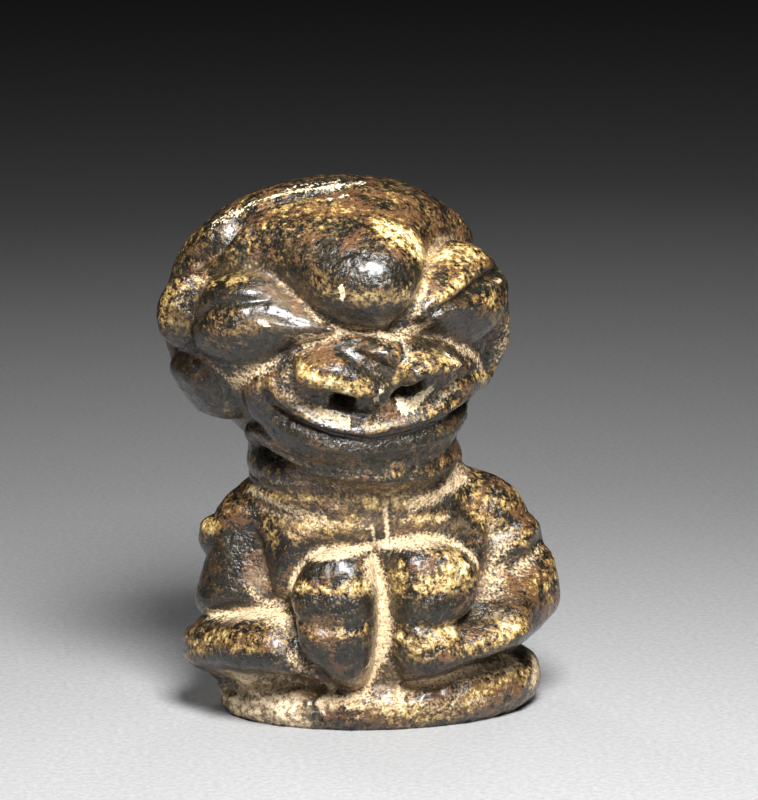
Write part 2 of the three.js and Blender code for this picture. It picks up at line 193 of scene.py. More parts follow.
HEAD_SWELLINGS = [
    ([(-21.6, 12), (-20.3, 7), (-14.9, 7.9), (-10.6, 6), (-5.4, 2.6), (-0.3, 1.3), (3.4, 2.9), (6.7, 6.9),
      (13, 10.3), (21.5, 9), (29, 10), (30, 24), (3, 26), (-9.6, 18.8), (-16.2, 16.9), (-20.2, 14.6)], 2.4, 6),
    ([(-20.9, 2.4), (-19.6, 6.3), (-14.5, 7.4), (-10.4, 5), (-4.6, 1.6), (-10.4, -0.9), (-14.3, -2.7),
      (-19.7, -1.9)], 2.7, 4.2),
    ([(12, 8.6), (15.5, 9.8), (19, 8.6), (21.8, 4), (20.4, 0.6), (14.9, -1.6), (9.2, -0.2), (4.3, 2.3),
      (6.9, 5.6)], 2.7, 4),
    ([(-21.4, 5.6), (-24.6, 5.4), (-27, 2), (-25.2, -1.4), (-22.4, -1.5), (-21.3, 2)], 2.5, 2.4),
    ([(-60, -11), (-31, -10), (-27.6, 3), (-22.3, 8.6), (-21, 14.8), (-9.6, 19), (4, 19), (16, 14),
      (23.5, 6), (30.5, 1.5), (31, -8), (60, -11), (60, 30), (-60, 30)], 2.2, 3),
    ([(-60, 2), (-28, 4), (-22.6, 10.6), (-12, 11), (0, 10), (8, 13), (16, 13.4), (24, 11), (30, 6),
      (60, 2), (60, 30), (-60, 30)], 2, 4),
    ([(-21, -2.4), (-25.5, -2.4), (-29.5, -3.2), (-29.5, -6.6), (-25.4, -9.2), (-19, -9.6), (-18.8, -5.6)], 1.7, 2),
    ([(19.8, 2.6), (22, 3.4), (25, 2), (26, -3), (24, -8), (20.8, -7.8), (21, -3), (20.2, 0)], 1.7, 1.2),
    ([(-15.5, -4.4), (-9.5, -1), (-3.4, 1.1), (1.5, 1.3), (9.8, -0.8), (17.5, -3.4), (20, -6),
      (18, -10.5), (9, -13.5), (-3, -14.4), (-12, -13.4), (-17, -9.5)], 1.3, 2.6),
    ([(-12.8, -4.1), (-11.8, -3.3), (-10.8, -3.8), (-8.2, -6.1), (-4.4, -7.5), (0.6, -7.4), (5.6, -6.2),
      (9.8, -4.3), (16.8, -4.1), (20, -5.3), (18.5, -7), (7.8, -8.2), (-2.5, -9.4), (-8.8, -8.4),
      (-11.3, -7.4), (-12.6, -5.7)], 1.9, 1.3),
    ([(-9.6, -3.7), (-9, -1.3), (-4.6, -0.3), (-0.5, -2.6), (0.9, -3.5), (1.1, -4.6), (-1.7, -6),
      (-5.9, -5.1), (-8.4, -4.9)], 3.4, 1.9),
    ([(1.5, -2.3), (2.1, -1.4), (5.2, -0.5), (7.6, -0.8), (9.2, -1.7), (9.6, -2.9), (6.9, -4.1),
      (4.9, -3.9), (2.4, -4.8), (1.8, -4.5)], 3.2, 1.6),
    ([(-3.4, -0.6), (-2, 0.6), (0.2, 1), (2, 0.4), (2.6, -1), (2, -2.3), (0.4, -2.8)], 2.7, 2),
    ([(-13.6, -5.2), (-12.9, -6.4), (-11.1, -8), (-8.2, -8.8), (-2.3, -9.6), (1.9, -9.5), (14, -8),
      (18, -7.4), (17.5, -8.8), (10.5, -10), (-2.4, -11.3), (-9.6, -10.5), (-12.9, -9.6), (-14.6, -7)], 1.5, 0.9),
    ([(-20, -11), (-17.5, -10.2), (-12.8, -10.9), (-1.8, -11.9), (10.3, -10.3), (16, -9.4), (18, -11),
      (15.4, -12), (8.1, -12.7), (-5, -13.9), (-15.7, -13.9), (-20.7, -13)], 1.2, 1),
]
HEAD_CUTS = [
    ([(-19.4, 1.4), (-16.2, 3.2), (-12.3, 4.2)], 0.6, 0.5),
    ([(-13.2, 3), (-11.6, 3.1), (-8, 1.9), (-6, 1.8)], 0.35, 0.5),
    ([(6.1, 2.8), (13.6, 4.6), (18, 4.7)], 0.9, 0.5),
    ([(-12.9, -5.6), (-11.5, -7.5), (-8.8, -8.5), (-2.4, -9.5), (2, -9.3), (17, -7)], 0.7, 0.45),
    ([(-4.8, -6.1), (-3.5, -6.4)], 2.8, 0.5),
    ([(2.3, -5.9), (4.4, -4.4)], 3, 0.65),
    ([(-20, -13.6), (-10.8, -14.5), (9, -12.9), (18, -12.4)], 0.8, 0.6),
    ([(18.6, 1.8), (19.7, -1), (19.9, -4), (19, -6.8)], 1.4, 0.5),
    ([(-12.5, 7.1), (-5.4, 2.5), (-1, 1.2)], 0.7, 0.7),
    ([(2, 1.8), (6.8, 6.8), (12, 9.6)], 0.7, 0.7),
    ([(-24.5, 6.5), (-22, 9.5), (-21.2, 13.5), (-15, 17.2), (-6, 19.5), (2, 20)], 0.5, 0.7),
]
BODY_SWELLINGS = [
    ([(-12.9, 14.9), (-11.2, 11), (-9.8, 7.6), (-7.4, 5), (-4, 4.6), (-2.1, 6.8), (-1.4, 12), (-1.5, 17),
      (-2.8, 19.6), (-6, 20.8), (-9.6, 20.2), (-12.2, 18)], 3.4, 3.8),
    ([(0.4, 19.4), (0.1, 15.1), (1.2, 11.9), (4.9, 10.6), (9.2, 11.7), (11.8, 14.2), (12.4, 16.9),
      (11.4, 19.5), (7.8, 21), (3, 21)], 3.2, 3.6),
    ([(1, 13.2), (0.4, 10), (1, 7), (2.8, 5.2), (6.1, 5), (14.5, 7.8), (17.5, 10.8), (14.5, 13),
      (10, 12.8), (3, 14)], 2.5, 3.2),
    ([(1.2, 11.2), (8.3, 11.5), (14.8, 15), (24, 18.5), (28, 13), (20.5, 8), (8.4, 7.1), (3.2, 5.2)], 1.8, 3),
    ([(18.4, 19), (21, 21.6), (28, 20.5), (31, 16), (26, 13), (20, 14.8)], 1.1, 2.6),
    ([(-22.6, 21.6), (-25.5, 22), (-27.5, 19.6), (-26, 17.4), (-23.2, 18.4)], 1.2, 1.8),
    ([(-28, 9.4), (-20.1, 11.9), (-13.8, 13.4), (-9, 5.6), (-13.9, 6.4), (-21.2, 4.4), (-26, 4.2)], 1.2, 2.5),
]
BODY_CUTS = [
    ([(-1.6, 20), (-0.6, 13.7), (-1.7, 7.9), (-4, 5)], 0.8, 1),
    ([(-14.6, 15.5), (-11.6, 20.3), (-4, 21), (4.6, 21.8), (14.4, 19.6), (15.4, 16.6)], 0.5, 0.9),
    ([(-0.3, 26), (-0.1, 22.6)], 0.5, 0.8),
    ([(-11.8, 13.4), (-7, 12.5), (-2.2, 13)], 0.3, 0.5),
    ([(-47.1, 27.6), (-20, 26.8), (20, 27.6), (47.1, 27.6)], 0.5, 0.9),
    ([(-24, 24.9), (-16.3, 23.9), (-11, 24)], 0.5, 0.9),
    ([(-20.4, 21.8), (-17.4, 15.3), (-15.6, 13.7)], 1.5, 1.5),
    ([(-24.5, 10.4), (-13.8, 14.4)], 0.8, 0.9),
    ([(-24, 4.2), (-16.8, 6), (-9.6, 4.4)], 0.7, 0.9),
    ([(19, 20.6), (17.4, 17.6), (14.5, 14.6)], 1.1, 1.1),
    ([(22.5, 18.2), (8.2, 11)], 0.8, 0.9),
    ([(25.5, 8.6), (15.1, 7.1), (8.4, 7), (2.9, 4.6)], 0.8, 0.9),
]
for side in (-1, 1):
    BODY_CUTS.append(([(side * 29, 6), (side * 33, 18), (side * 37, 22)], 0.8, 1.3))
    BODY_CUTS.append(([(side * 47.1, 4.5), (side * 47.1, 23)], 0.7, 1.4))


def head_map(points):
    x, y, z = to_head(points)
    return MAP_RADIUS * np.array([np.arctan2(x, -y), np.arctan2(z, np.hypot(x, y))])


def body_map(points):
    return np.array([MAP_RADIUS * np.arctan2(points[0] - 0.3, -(points[1] - 0.5)), points[2]])


def carving(points):
    height = points[2]
    on_face, on_body = head_map(points), body_map(points)
    high, low = np.zeros(len(height)), np.zeros(len(height))
    for outline, rise, shoulder in HEAD_SWELLINGS:
        high = np.maximum(high, swelling(on_face, outline, rise, shoulder))
    for line, depth, width in HEAD_CUTS:
        high -= depth * line_share(on_face, line, width)
    high += (2.2 - high) * ease(on_face[1], 18.5, 22)
    for outline, rise, shoulder in BODY_SWELLINGS:
        low = np.maximum(low, swelling(on_body, outline, rise, shoulder))
    for line, depth, width in BODY_CUTS:
        low -= depth * line_share(on_body, line, width)
    high = high * ease(height, 26.3, 27.9) - 1.7 * ease(height, 27.5, 34.5)
    return high + low * np.clip((height - 0.3) / 1.2, 0, 1) * np.clip((30.5 - height) / 1.5, 0, 1)


# The skin of the clay, found along rays from inside: level rays up the trunk, tilted ones over the
# shoulders, then over the head. The underside is a flat disc.
LOW_START, HIGH_START = np.array([-0.6, 0.5, 14]), np.array([-2.2, 0.5, 44.1])
FOOT = np.array([0.3, 0.5, 0.3])
LOW_TILT, HIGH_TILT = math.radians(45), math.radians(-50)


def ring_rays(columns, body_rings, neck_rings, head_rings, front_share):
    starts, tilts = [], []
    for t in np.linspace(0, 1, body_rings):
        starts.append(FOOT + (LOW_START - FOOT) * min(2 * t, 1))
        tilts.append(LOW_TILT * max(2 * t - 1, 0))
    for t in np.linspace(0, 1, neck_rings + 2)[1:-1]:
        starts.append(LOW_START + (HIGH_START - LOW_START) * t)
        tilts.append(math.atan(math.tan(LOW_TILT) * (1 - t) + math.tan(HIGH_TILT) * t))
    for t in np.linspace(0, 1, head_rings + 1)[:-1]:
        starts.append(HIGH_START + (HEAD_AT - HIGH_START) * min(2.5 * t, 1))
        tilts.append(HIGH_TILT + (math.pi / 2 - HIGH_TILT) * (0.6 * t + 0.4 * t * t))
    turn = 2 * math.pi * (np.arange(columns) / columns - 0.5)
    bearing = turn - front_share * np.sin(turn) - math.pi / 2
    tilts = np.array(tilts)[:, None]
    ways = np.array([np.cos(tilts) * np.cos(bearing), np.cos(tilts) * np.sin(bearing), np.sin(tilts) + 0 * bearing])
    return np.repeat(np.array(starts).T[:, :, None], columns, 2), ways


def walk(starts, ways, level, reach):
    reach = reach.copy()
    moving = np.arange(len(reach))
    for _ in range(40):
        gap = level[moving] - figure_form(starts[:, moving] + reach[moving] * ways[:, moving])
        reach[moving] += 0.8 * gap
        moving = moving[np.abs(gap) > 0.003]
        if not len(moving):
            break
    return reach


def skin_points(starts, ways, relief):
    shape = starts.shape
    starts, ways = starts.reshape(3, -1), ways.reshape(3, -1)
    plain = walk(starts, ways, np.zeros(starts.shape[1]), np.full(starts.shape[1], 4.0))
    level = relief(starts + plain * ways)
    reach = walk(starts, ways, level, np.maximum(plain - 3, 2))
    return (starts + reach * ways).reshape(shape)


# The finished skin. Fingers and the burnishing stone leave the clay slightly lumpy and pitted, and the
# roll at the foot stays grainy on the left, where it was set down.
def lumps(points, size, seed):
    shift = Vector((seed * 17.3, seed * 5.1, seed * 9.7))
    return np.array([noise.noise(Vector(p) / size + shift) for p in points.T.tolist()])


def worked_surface(points):
    at_foot_left = ease(-points[2], -5.5, -3) * (1 - 0.75 * ease(points[0], -6, 2))
    uneven = 0.13 * lumps(points, 4.5, 1) + 0.06 * lumps(points, 1.7, 2)
    pitted = (0.06 + 0.5 * at_foot_left) * lumps(points, 0.8, 3)
    return carving(points) + (uneven + pitted) * np.clip(points[2] / 1.2, 0, 1)


COLUMNS = 330
skin = skin_points(*ring_rays(COLUMNS, 108, 10, 164, 0.58), worked_surface)
crown_top = skin_points(HEAD_AT[:, None, None], np.array([0, 0, 1.0])[:, None, None], worked_surface)[:, 0, 0]

middle = np.array([FOOT[0], FOOT[1], 0])[:, None]
rim = skin[:, 0] * np.array([1, 1, 0])[:, None]
rim = middle + 0.985 * (rim - middle)
under = [middle + share * (rim - middle) for share in (0.5, 1)]
vertices = np.concatenate([middle, *under, skin.reshape(3, -1), crown_top[:, None]], 1)

rings = len(under) + skin.shape[1]
row, column = np.arange(1, rings)[:, None], np.arange(COLUMNS)[None, :]
following = (column + 1) % COLUMNS
corners = [(row - 1, column), (row - 1, following), (row, following), (row, column)]
squares = np.stack([1 + r * COLUMNS + c for r, c in corners], -1).reshape(-1, 4)
last = 1 + (rings - 1) * COLUMNS
fans = [(0, 1 + (c + 1) % COLUMNS, 1 + c) for c in range(COLUMNS)]
fans += [(last + c, last + (c + 1) % COLUMNS, last + COLUMNS) for c in range(COLUMNS)]

low, high = (np.array(corner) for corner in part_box("figure"))
near, far = vertices.min(1), vertices.max(1)
scale = (high[2] - low[2]) / (far[2] - near[2])
shift = (low + high) / 2 - scale * (near + far) / 2

mesh = bpy.data.meshes.new("clay_figure")
mesh.from_pydata((scale * vertices + shift[:, None]).T.tolist(), [], squares.tolist() + fans)
mesh.polygons.foreach_set("use_smooth", [True] * len(mesh.polygons))
figure = bpy.data.objects.new("clay_figure", mesh)
bpy.context.scene.collection.objects.link(figure)
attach(figure, "root")
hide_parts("figure")


# Burial and handling. Pale earth fills the folds and a film of it dulls the slip beside them, the
# near-black slip is rubbed through to golden clay on the high spots, and cream crust clings in places.
# Near-black marks keep the unworn slip and also paint shade into the cuts and onto faces turned from the lamp.
SOIL_ON_HEAD = [
    ([(-17.1, -4.9), (-13.4, -2.8), (-10.1, -1.1), (-7.7, 0.5), (-6.1, 1)], 1.1, 0.72),
    ([(-9.8, -2.5), (-10.3, -4.6), (-8.9, -6.3), (-6.5, -7.4)], 0.68, 0.48),
    ([(-13.4, 7.6), (-9.4, 5.2), (-6.6, 2.4), (-3.8, 1.5)], 0.51, 0.56),
    ([(-16.6, 3.1), (-14.9, 3.7), (-12.8, 4.1)], 0.3, 0.56),
    ([(-21.9, 5), (-22.1, 1.8)], 0.59, 0.4),
    ([(-19.1, -2.5), (-17.1, -4.9)], 0.68, 0.48),
    ([(-22, -3), (-19.7, -4.7), (-19.5, -6.7)], 0.68, 0.4),
    ([(8.6, 8.2), (5.5, 4.5), (4, 2)], 0.42, 0.52),
    ([(8.4, 3.7), (12.6, 4.3), (16.6, 4)], 0.38, 0.72),
    ([(-6.1, 0.7), (-2.2, 1.5), (1.2, 0.6), (6.2, 1.2), (10.3, -0.8), (11.9, -2.4)], 0.77, 0.6),
    ([(12.1, -1.8), (14.5, -3), (15.9, -4.8)], 1.02, 0.6),
    ([(7.8, -2.1), (9.7, -4.6), (7.9, -5.7)], 0.68, 0.64),
    ([(2.6, 0.2), (2.6, -1.4)], 0.51, 0.56),
    ([(21.4, 1.7), (21.4, -4.3)], 0.51, 0.44),
]
SOIL_ON_BODY = [
    ([(-21.7, 25.7), (-16.8, 24.8), (-12.5, 24), (-9.3, 23.5)], 0.6, 0.8),
    ([(19.6, 26.8), (12.4, 26.2), (7.8, 25.2), (4.4, 25)], 1, 0.85),
    ([(-13.7, 15.4), (-12.8, 18), (-9.8, 19.8), (-1.9, 20.6), (7, 21.1), (12.5, 20), (14.5, 17.5)], 0.75, 0.85),
    ([(-2.3, 18.8), (-0.9, 15.7), (-0.6, 11.6), (-1.2, 8.7), (-3.9, 4.6)], 1.25, 1),
    ([(-21.7, 11.8), (-18.4, 12.3), (-15, 12.8), (-12.7, 12.3)], 0.8, 0.9),
    ([(-13.7, 15.4), (-16.8, 13.7), (-17.9, 13.7), (-19.2, 15.2)], 0.5, 0.55),
    ([(-10.9, 9.1), (-10.3, 7.1), (-9.3, 5.1), (-7.7, 4.4)], 0.5, 0.6),
    ([(-18.3, 5.7), (-15.8, 5.5), (-12, 4.6)], 0.6, 0.6),
    ([(19, 21.6), (18.9, 18.8), (15.7, 14.4), (11.2, 12.4)], 0.55, 0.6),
    ([(19.8, 17.5), (15.7, 14.4)], 0.5, 0.5),
    ([(1.5, 4.2), (5.8, 5.1), (10.1, 5.6), (18.5, 5.9)], 0.8, 0.9),
    ([(21.6, 4.8), (19.5, 2.9)], 1, 0.9),
    ([(-8.6, 3.2), (-5.5, 3.8), (-2.8, 4.4)], 0.8, 0.8),
    ([(-0.3, 25.6), (0.2, 21.9)], 0.5, 1),
    ([(-2.3, 22.7), (-1.9, 21.1)], 0.35, 0.8),
    ([(-16.9, 27.3), (-8.6, 27.8), (3.6, 28)], 0.5, 0.5),
    ([(-19.5, 23.7), (-13.1, 23.5), (-7, 25.3)], 0.5, 0.45),
    ([(-14.3, 21.5), (-6.4, 23.1), (-1.9, 22.4)], 0.45, 0.45),
    ([(1.2, 25.7), (9.8, 25.9), (17.1, 26.4)], 0.5, 0.5),
    ([(2.2, 23.3), (12.2, 23)], 0.5, 0.5),
    ([(-4, 3.2), (4, 2.6), (12, 2.8)], 1.4, 0.45),
    ([(22.9, 17.9), (18.8, 15.8)], 0.5, 0.5),
]
FILM_ON_HEAD = [
    ([(-16.1, 7.7), (-10.8, 6.3), (-7.2, 3)], 1.6, 0.8),
    ([(9.3, 8.4), (6.9, 5)], 1.1, 0.6),
    ([(-2.5, 0.2), (-1, -1.3), (0.6, -3)], 1.2, 0.6),
    ([(-13.1, -4.6), (-9.8, -6.5), (-6.4, -7.2)], 1, 0.7),
    ([(-7.9, -8.9), (-4.4, -9.8), (-0.5, -10)], 0.8, 0.5),
    ([(-6.1, 9), (-5.4, 7)], 1.4, 0.5),
    ([(-12.5, 2.6), (-6.5, 1.6)], 1.3, 0.9),
    ([(-12, 5.4), (-8, 3.4)], 1.8, 1),
]
FILM_ON_BODY = [
    ([(-14.4, 22.8), (-1.9, 23.2), (14.5, 22)], 2, 0.8),
    ([(-16.5, 26.2), (9.1, 26.2)], 1.6, 0.8),
    ([(-19.2, 15.8), (-18.3, 14.2)], 1.5, 0.7),
    ([(16.7, 19.8), (19.4, 18.2)], 2, 0.5),
    ([(-0.8, 7.7), (1.4, 5.9)], 1.2, 0.6),
]
CRUST_ON_HEAD = [
    ([(-24.2, 10.5), (-23, 13.4), (-20.2, 16.2), (-15.6, 18.7), (-2.6, 20.7), (10.4, 20.1)], 0.8, 0.65),
    ([(-20.4, 17.4), (-17.1, 19.9), (-0.7, 22)], 0.8, 0.5),
    ([(-7.7, 17.5), (-1.7, 17.8)], 0.6, 0.6),
    ([(-6.5, -7.2), (-3.6, -7.9)], 0.55, 1),
    ([(2.8, -6.9), (4.4, -6.5), (6.1, -5.3)], 0.6, 1),
    ([(-4.3, 5.6), (-4.2, 4.7)], 0.35, 0.7),
    ([(-12.3, 2.2), (-11.5, 1.9)], 0.4, 0.7),
    ([(-0.4, -6), (-0.6, -4.1)], 0.45, 0.9),
    ([(6.7, -1.4), (7, -2.1)], 0.5, 0.6),
    ([(2.6, 11.9), (3.7, 10.8)], 0.9, 0.6),
]
GOLD_ON_HEAD = [
    ([(1.6, 11.5), (3, 10.4), (5.9, 9.3)], 1.9, 1.5),
    ([(-6.2, 6.2), (-4.2, 4.8), (-1.2, 4.6), (2.4, 4.9)], 1.2, 0.7),
    ([(9.3, 7.9), (4.4, 4.6)], 0.8, 0.7),
    ([(-14.1, 12.4), (-4.1, 15.4), (1.6, 13.7)], 2, 0.35),
    ([(2.7, 19.5), (10.3, 15.6), (18, 11.2)], 2, 0.35),
    ([(-17.1, 9.8), (-8.5, 12.2)], 1.4, 0.3),
    ([(-21.7, 3.8), (-18.1, 5.1), (-15.1, 6.3)], 1, 0.5),
    ([(-23.2, 2.9), (-22.7, 1.3)], 1.2, 0.8),
    ([(-19.1, 1.9), (-14.8, 2.6)], 0.7, 0.5),
    ([(-18.8, -0.1), (-14.3, 0.4)], 1.2, 0.5),
    ([(11.8, 8.8), (14.9, 7.3)], 1.8, 0.8),
    ([(6.5, 3.7), (10.6, 5.3)], 0.9, 0.8),
    ([(11.2, 3.2), (15.1, 2.5)], 1, 0.6),
    ([(-8.2, -2.1), (-5.8, -3.1), (-2.7, -3.8)], 1.1, 1),
    ([(1.8, -3.6), (3.9, -1.7), (7.6, -1.7)], 1, 0.7),
    ([(-13.4, -4.6), (-11.8, -7.4), (-7.7, -7.5)], 0.7, 0.5),
    ([(14, -5), (17.3, -5.6)], 1.1, 0.8),
    ([(6.1, -7.1), (9.5, -6.7)], 0.8, 0.6),
    ([(-4.4, -8.1), (0.9, -8.3)], 0.8, 0.4),
]
GOLD_ON_BODY = [
    ([(-23, 21), (-23.6, 22)], 0.8, 0.9),
    ([(-18.3, 22.3), (-16.2, 19.8)], 1, 0.55),
    ([(-14.3, 21.1), (-11.8, 21.6)], 0.9, 0.6),
    ([(-21, 8.1), (-18.9, 9.8), (-16.4, 10.7)], 1.1, 0.6),
    ([(-15.8, 9.5), (-13.4, 9.9)], 1, 0.5),
    ([(-10.4, 16.8), (-7.4, 16.6), (-2.9, 16.9)], 0.9, 0.9),
    ([(-8.6, 12), (-3.1, 12.1)], 0.9, 0.45),
    ([(1.2, 16.2), (1.7, 18.8)], 0.9, 0.7),
    ([(4.1, 16.9), (6.5, 17.2), (8.1, 18.6)], 1.6, 1.2),
    ([(1.2, 10.9), (2.6, 10.6)], 0.9, 0.8),
    ([(3.3, 9.2), (5, 10.8), (7, 11.8)], 1.3, 1),
    ([(10, 9.8), (11.9, 10.6)], 1.2, 0.7),
    ([(12.9, 11.2), (14.7, 11.7)], 1.2, 0.8),
    ([(19.9, 14.2), (20.2, 11.2)], 0.9, 0.6),
    ([(16.9, 14), (19.5, 15.1)], 0.8, 0.5),
    ([(15, 25.5), (19.8, 24.3), (20.6, 23.1)], 1.2, 0.5),
    ([(17.2, 23), (18.9, 21.4)], 1.2, 0.6),
    ([(20, 20.1), (20, 19.2)], 0.8, 0.9),
    ([(-9.3, 22.3), (-7.7, 22.7)], 0.8, 0.8),
    ([(-9.8, 25.2), (-6.9, 26.1)], 1.2, 0.5),
    ([(1.9, 26.8), (6.4, 27.1)], 1.2, 0.6),
    ([(10.6, 2.9), (15.2, 4.4), (18.1, 4.5)], 1.6, 0.7),
    ([(-17.9, 28.6), (-7.1, 28.4), (6.9, 29.3)], 0.9, 0.6),
    ([(-17.3, 25.7), (-6.9, 25.9), (2, 26.6)], 0.8, 0.6),
    ([(-22.8, 2.2), (-19.5, 1.5)], 1.4, 0.8),
    ([(-6, 3.4), (1.4, 2.3), (8.1, 1.3)], 1.3, 0.6),
    ([(-12.5, 22.6), (-5, 23.6)], 0.9, 0.9),
    ([(-3, 25.4), (8, 25.2)], 0.8, 1),
    ([(4, 23.4), (11, 23)], 0.8, 0.9),
]
# Near-black marks: partly the unworn slip, partly painted shade in the eye slits, mouth and nostril cuts, under the
# lids, and on the cheek and jaw turned away from the lamp.
SLIP_AND_SHADE_ON_HEAD = [(line, 0.8, 1) for line, _, _ in HEAD_CUTS[:6]] + [
    ([(-4.9, 7.4), (0.2, 6.3)], 2.2, 1),
    ([(-4.4, 3.4), (0.5, 3)], 1.3, 0.9),
    ([(-18.1, -1.1), (-10.1, -0.8)], 2, 0.9),
    ([(-18.4, -7.5), (-7.8, -9.3)], 2, 0.8),
    ([(-5, -9.8), (2.4, -9.6)], 1.3, 0.7),
    ([(-23.6, -3.2), (-21.3, -6.7)], 2.5, 0.8),
    ([(7.6, 1), (12.9, 0.3)], 1.4, 1),
    ([(-21.8, 1.5), (-21.7, -1.3)], 1.6, 0.8),
    ([(-21.3, 3.4), (-13.3, 4.7)], 0.8, 0.8),
    ([(-13.8, 10.6), (-8.7, 10.1)], 1.2, 0.5),
    ([(-10.5, 9), (-8.3, 6.9)], 1.3, 0.6),
    ([(-24.1, -2.9), (-19.8, -4.9), (-17.9, -7.9)], 2.2, 1),
    ([(-21.9, 0.1), (-15.4, -0.3), (-11.5, 0.3)], 1.4, 0.9),
    ([(-19.5, 6.5), (-12.5, 7.5)], 1.3, 0.7),
    ([(5.1, -0.8), (7.8, -1.4), (10.8, -4)], 0.7, 0.9),
    ([(2, -4.5), (2.6, -2.9)], 0.5, 0.9),
    ([(-10, -7.9), (-2, -8.8), (5, -8.4)], 0.8, 0.8),
]
# Near-black marks on the trunk: unworn slip, with painted shade on the lower sides of the breasts and on the left arm
# turned from the lamp.
SLIP_AND_SHADE_ON_BODY = [
    ([(-22.7, 18.3), (-20.9, 13.9)], 2.5, 0.8),
    ([(-20.8, 20.6), (-16.9, 18.3)], 1.8, 0.8),
    ([(-11.6, 18.4), (-4.6, 19.4)], 1, 0.7),
    ([(-9.2, 14.4), (-3.1, 14.9)], 1.6, 0.8),
    ([(-8.7, 9.1), (-3.6, 8.8)], 1.8, 0.7),
    ([(1.2, 14), (7, 15.1)], 1.4, 0.9),
    ([(8.3, 19.9), (8, 17.1)], 0.9, 0.6),
    ([(-20.4, 6.5), (-11.9, 8.7)], 1.2, 0.7),
    ([(2.7, 8), (16.7, 6.7)], 1.3, 0.7),
    ([(8.8, 11.7), (15.8, 13.5)], 1.4, 0.6),
    ([(0.5, 24.8), (11.2, 23.4)], 0.9, 0.5),
    ([(-18.3, 28), (1.2, 29.6)], 1, 0.6),
]
GRIT_ON_BODY = [
    ([(-18.5, 4.2), (-15.1, 3.2), (-12.6, 1.9)], 1.5, 1),
    ([(-19.5, 1.6), (-16.1, 0.8), (-11.6, 0.6)], 1.2, 0.8),
    ([(-8.5, 4.4), (-8.9, 3.1)], 0.7, 0.7),
    ([(-26, 1.5), (-34, 2.5), (-44, 1.6)], 1.3, 0.7),
]
RUST_ON_HEAD = [
    ([(-14.3, 12.7), (-7.3, 16.4), (12.8, 14.5)], 3, 0.8),
    ([(-10.6, 10.7), (-7.8, 10.8)], 0.9, 1),
    ([(-3.5, 10.2), (-1.5, 10.2)], 0.7, 1),
    ([(-7.5, -1.1), (-5.5, -0.7)], 0.8, 0.8),
    ([(16, 10.5), (22.1, 9.1)], 2, 0.8),
]
RUST_ON_BODY = [
    ([(16.4, 13.8), (20, 12)], 2.6, 1),
    ([(16.8, 25.3), (20.5, 22.5)], 2, 0.6),
    ([(-6.8, 2.5), (1.4, 1.3), (15.7, 2.9)], 2.6, 1),
    ([(-6.7, 14), (-5.6, 8.4)], 1.6, 0.5),
    ([(1.2, 11.1), (8.9, 9.1)], 1.6, 0.5),
]


def drawn(place, lines):
    amount = np.zeros(place.shape[1])
    for line, width, strength in lines:
        amount = np.maximum(amount, strength * line_share(place, line, width))
    return amount


def averaged(points, times):
    for _ in range(times):
        beside = np.roll(points, 1, 2) + np.roll(points, -1, 2)
        below = np.concatenate([points[:, :1], points[:, :-1]], 1)
        above = np.concatenate([points[:, 1:], points[:, -1:]], 1)
        points = (beside + below + above) / 4
    return points


around = np.roll(skin, -1, 2) - np.roll(skin, 1, 2)
outward = np.cross(around, np.gradient(skin, axis=1), axis=0)
outward /= np.sqrt((outward**2).sum(0)) + 1e-9
crease = ((averaged(skin, 14) - skin) * outward).sum(0).ravel()
hollow = ((averaged(skin, 150) - skin) * outward).sum(0).ravel()

places = skin.reshape(3, -1)
on_face, on_body = head_map(places), body_map(places)
upper = ease(places[2], 27, 29)
broad = lumps(places, 7, 4)


def on_clay(head_lines, body_lines):
    return upper * drawn(on_face, head_lines) + (1 - upper) * drawn(on_body, body_lines)


def wear(name, amount):
    amount = np.clip(amount, 0, 1)
    padded = np.concatenate([np.zeros(1 + len(under) * COLUMNS), amount, amount[-1:]])
    mesh.attributes.new(name, "FLOAT", "POINT").data.foreach_set("value", padded.astype(np.float32))


sunk = np.clip(crease / 0.16, 0, 1)
# The slip-and-shade marks are partly painted shade; they also hold back the earth, film, gold and rust laid over them.
slip_and_shade = on_clay(SLIP_AND_SHADE_ON_HEAD, SLIP_AND_SHADE_ON_BODY)
wear("soil", np.maximum(on_clay(SOIL_ON_HEAD, SOIL_ON_BODY), 0.3 * sunk) * (1 - 0.8 * slip_and_shade * (slip_and_shade > 0.5)))
wear("film", np.maximum(on_clay(FILM_ON_HEAD, FILM_ON_BODY), 0.4 * sunk + np.clip(hollow / 1.5, 0, 0.35)) + 0.3 * broad - 0.3 * slip_and_shade)
wear("crust", on_clay(CRUST_ON_HEAD, []))
gold = on_clay(GOLD_ON_HEAD, GOLD_ON_BODY)
wear("gold", np.maximum(gold, 0.12 - hollow / 9 + 0.35 * broad - 0.3 * sunk - 0.5 * slip_and_shade))
wear("slip_and_shade", slip_and_shade)
wear("rust", np.maximum(on_clay(RUST_ON_HEAD, RUST_ON_BODY), 0.2 + 0.4 * broad) - 0.4 * slip_and_shade)
wear("grit", on_clay([], GRIT_ON_BODY))

clay = bpy.data.materials.new("burnished_clay")
clay.use_nodes = True
nodes, links = clay.node_tree.nodes, clay.node_tree.links
surface = nodes["Principled BSDF"]


